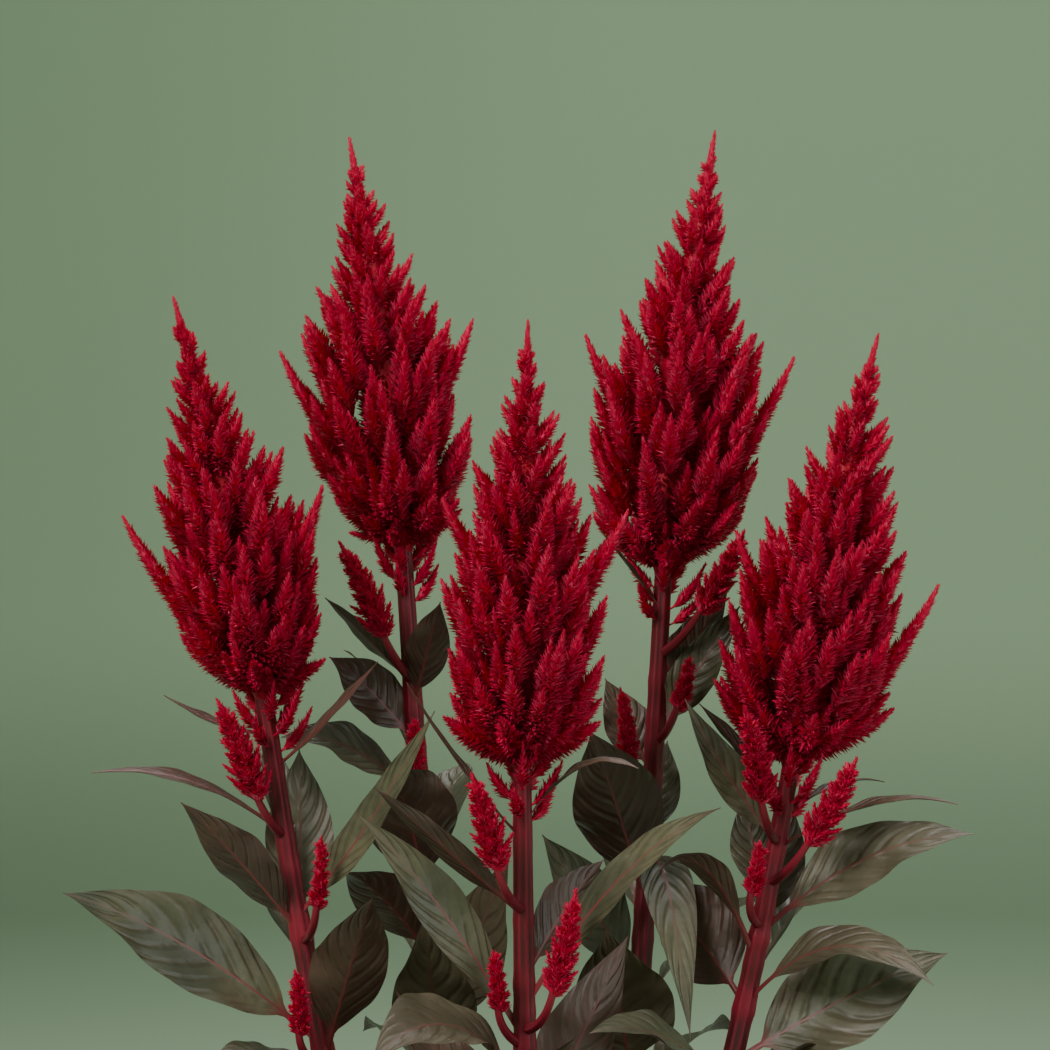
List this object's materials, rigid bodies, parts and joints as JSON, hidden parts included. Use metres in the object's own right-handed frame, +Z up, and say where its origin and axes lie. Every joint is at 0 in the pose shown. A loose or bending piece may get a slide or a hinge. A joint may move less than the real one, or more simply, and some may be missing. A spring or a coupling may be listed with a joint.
{
  "type": "plume celosia in a pot",
  "caption": "Potted plume celosia with pointed crimson feathery flower plumes on upright ribbed red stems with bronze lance-shaped leaves.",
  "frame": {"origin": "centre of the pot's underside, on the surface it stands on", "axes": "+Z up along the plant's height; the viewer of the picture is at -Y and +X is to the viewer's right"},
  "size_m": [0.3127, 0.1924, 0.522],
  "materials": {
    "clay": "dry unglazed terracotta",
    "soil": "dark crumbly potting soil",
    "leafy_stem": "bronze-green leaf with a soft sheen, on a satin dark red stem",
    "plume": "papery crimson florets, softly glossy at the tips"
  },
  "bodies": {
    "root": {"pot": "clay", "soil": "soil", "stem_front": "leafy_stem", "plume_front": "plume", "stem_left": "leafy_stem", "plume_left": "plume", "stem_right": "leafy_stem", "plume_right": "plume", "stem_back_left": "leafy_stem", "plume_back_left": "plume", "stem_back_right": "leafy_stem", "plume_back_right": "plume", "side_plume_left_1": "plume", "side_plume_left_2": "plume", "side_plume_left_3": "plume", "side_plume_back_left_1": "plume", "side_plume_back_left_2": "plume", "side_plume_front_1": "plume", "side_plume_front_2": "plume", "side_plume_front_3": "plume", "side_plume_back_right_1": "plume", "side_plume_back_right_2": "plume", "side_plume_back_right_3": "plume", "side_plume_right_1": "plume", "side_plume_right_2": "plume", "side_plume_right_3": "plume"}
  },
  "joints": []
}
